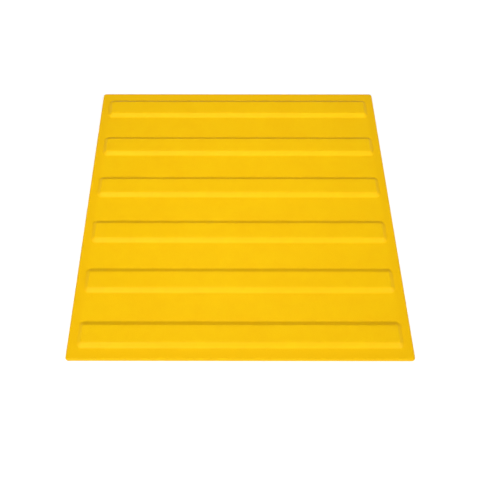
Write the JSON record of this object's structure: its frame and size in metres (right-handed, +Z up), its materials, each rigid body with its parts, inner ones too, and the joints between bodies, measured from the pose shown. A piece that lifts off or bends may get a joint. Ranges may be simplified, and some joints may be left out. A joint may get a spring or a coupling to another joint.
{
  "type": "tactile paving slab",
  "caption": "Thin square moulded floor slab with raised flat-topped parallel bars that guide people who feel their way by foot or cane.",
  "frame": {"origin": "centre of the slab's underside, on the floor", "axes": "+X along the bars, +Y across the bars, +Z up out of the floor"},
  "size_m": [0.5, 0.5, 0.009],
  "materials": {
    "yellow_polymer": "satin"
  },
  "bodies": {
    "root": {"slab": "yellow_polymer"}
  },
  "joints": []
}
